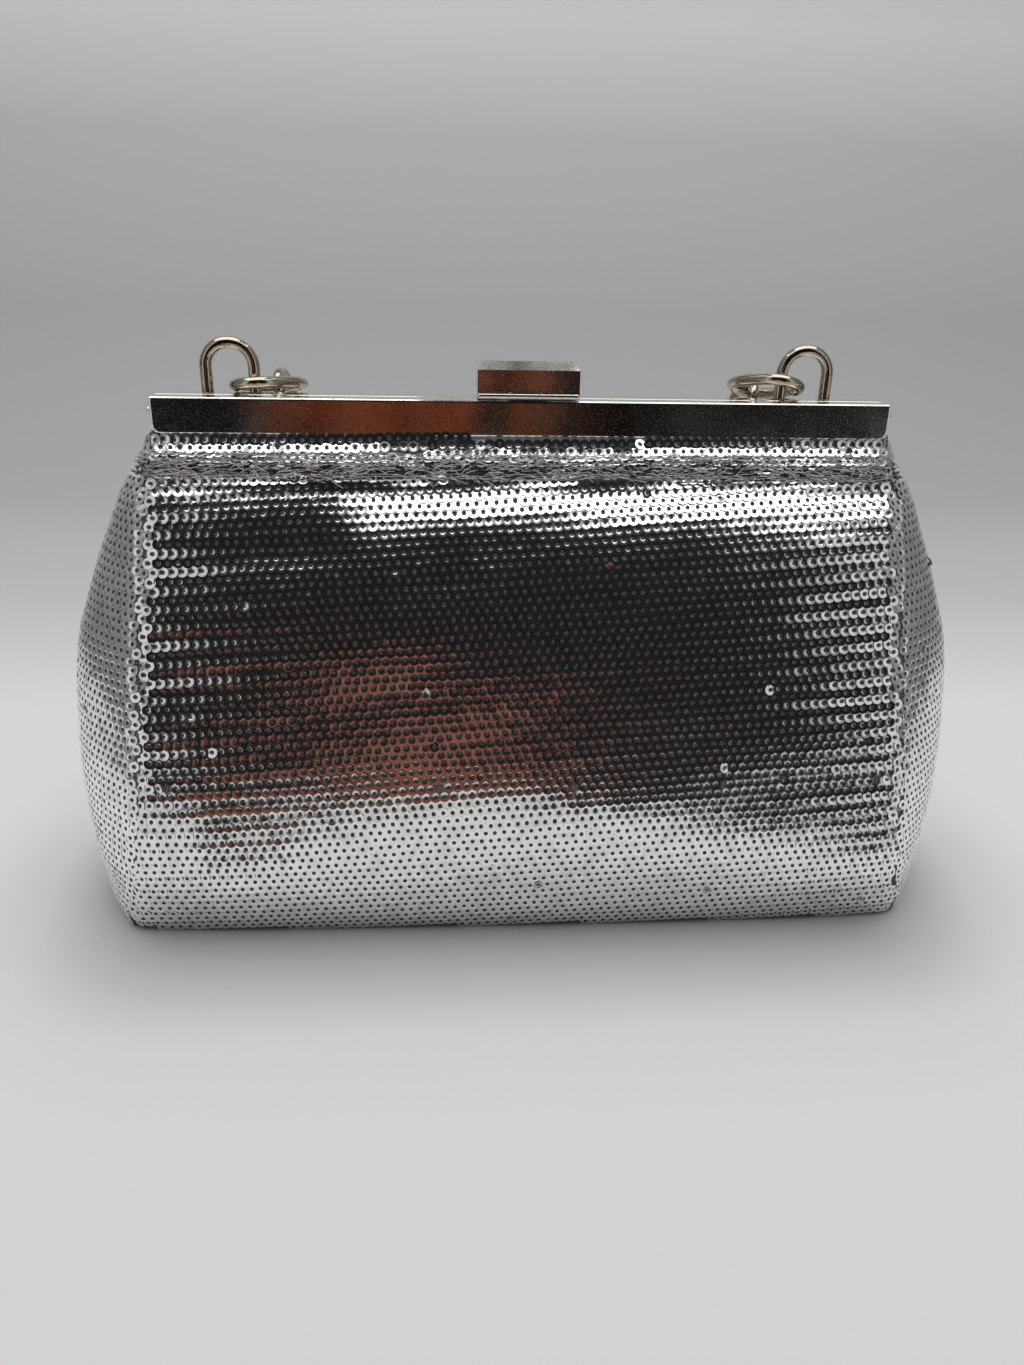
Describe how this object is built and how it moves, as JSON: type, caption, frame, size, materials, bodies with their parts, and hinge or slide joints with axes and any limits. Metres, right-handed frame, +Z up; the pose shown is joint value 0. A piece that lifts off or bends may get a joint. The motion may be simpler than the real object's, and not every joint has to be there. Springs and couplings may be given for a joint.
{
  "type": "evening bag",
  "caption": "Structured evening bag in silver sequin fabric with a straight hinged metal frame, lift-tab clasp, wire staples and a hanging chain strap.",
  "frame": {"origin": "centre of the bag's flat base, on the surface it stands on", "axes": "+X along the frame bar, -Y is the front, +Z up"},
  "size_m": [0.2552, 0.0892, 0.1612],
  "materials": {
    "polished_nickel": "polished nickel plate, slightly warm, fine scratches",
    "chain_nickel": "bright nickel wire, lightly worn",
    "plain_steel": "plain steel, satin",
    "sequin_fabric": "overlapping round silver sequins on grey cloth",
    "base_fabric": "plain grey woven cloth",
    "grey_satin": "grey satin lining",
    "stiff_board": "plain stiffener board"
  },
  "bodies": {
    "body": {"front_panel": "sequin_fabric", "rear_panel": "sequin_fabric", "left_gusset": "sequin_fabric", "right_gusset": "sequin_fabric", "base_panel": "base_fabric", "rear_shoulder": "sequin_fabric", "lining": "grey_satin", "rear_lining": "grey_satin", "base_board": "stiff_board", "rear_bar": "polished_nickel", "rear_arm_left": "plain_steel", "rear_arm_right": "plain_steel", "hinge_pin_left": "plain_steel", "hinge_pin_right": "plain_steel", "rear_rivet_left": "polished_nickel", "rear_rivet_right": "polished_nickel", "clasp_bracket": "plain_steel", "clasp_pin": "plain_steel", "left_staple": "polished_nickel", "right_staple": "polished_nickel", "left_first_link": "chain_nickel", "right_first_link": "chain_nickel"},
    "front_frame": {"front_bar": "polished_nickel", "front_arm_left": "plain_steel", "front_arm_right": "plain_steel", "front_rivet_left": "polished_nickel", "front_rivet_right": "polished_nickel", "catch_plate": "plain_steel", "front_shoulder": "sequin_fabric", "front_lining": "grey_satin"},
    "clasp": {"clasp_tab": "polished_nickel"},
    "strap": {"strap_link_01": "chain_nickel", "strap_link_02": "chain_nickel", "strap_link_03": "chain_nickel", "strap_link_04": "chain_nickel", "strap_link_05": "chain_nickel", "strap_link_06": "chain_nickel", "strap_link_07": "chain_nickel", "strap_link_08": "chain_nickel", "strap_link_09": "chain_nickel", "strap_link_10": "chain_nickel", "strap_link_11": "chain_nickel", "strap_link_12": "chain_nickel", "strap_link_13": "chain_nickel", "strap_link_14": "chain_nickel", "strap_link_15": "chain_nickel", "strap_link_16": "chain_nickel", "strap_link_17": "chain_nickel"}
  },
  "joints": [
    {"name": "frame_open", "type": "hinge", "parent": "body", "child": "front_frame", "pos_m": [0, 0, 0.104], "axis": [1, 0, 0], "range_deg": [0, 55], "deforming": ["front_shoulder", "front_lining"]},
    {"name": "clasp_lift", "type": "hinge", "parent": "body", "child": "clasp", "pos_m": [0, 0.0036, 0.1504], "axis": [-1, 0, 0], "range_deg": [0, 70], "stiffness_Nm_per_rad": 0.004, "springref_deg": -5.73},
    {"name": "strap_swing", "type": "hinge", "parent": "body", "child": "strap", "pos_m": [0, 0.01465, 0.14745], "axis": [1, 0, 0], "range_deg": [0, 155]}
  ]
}
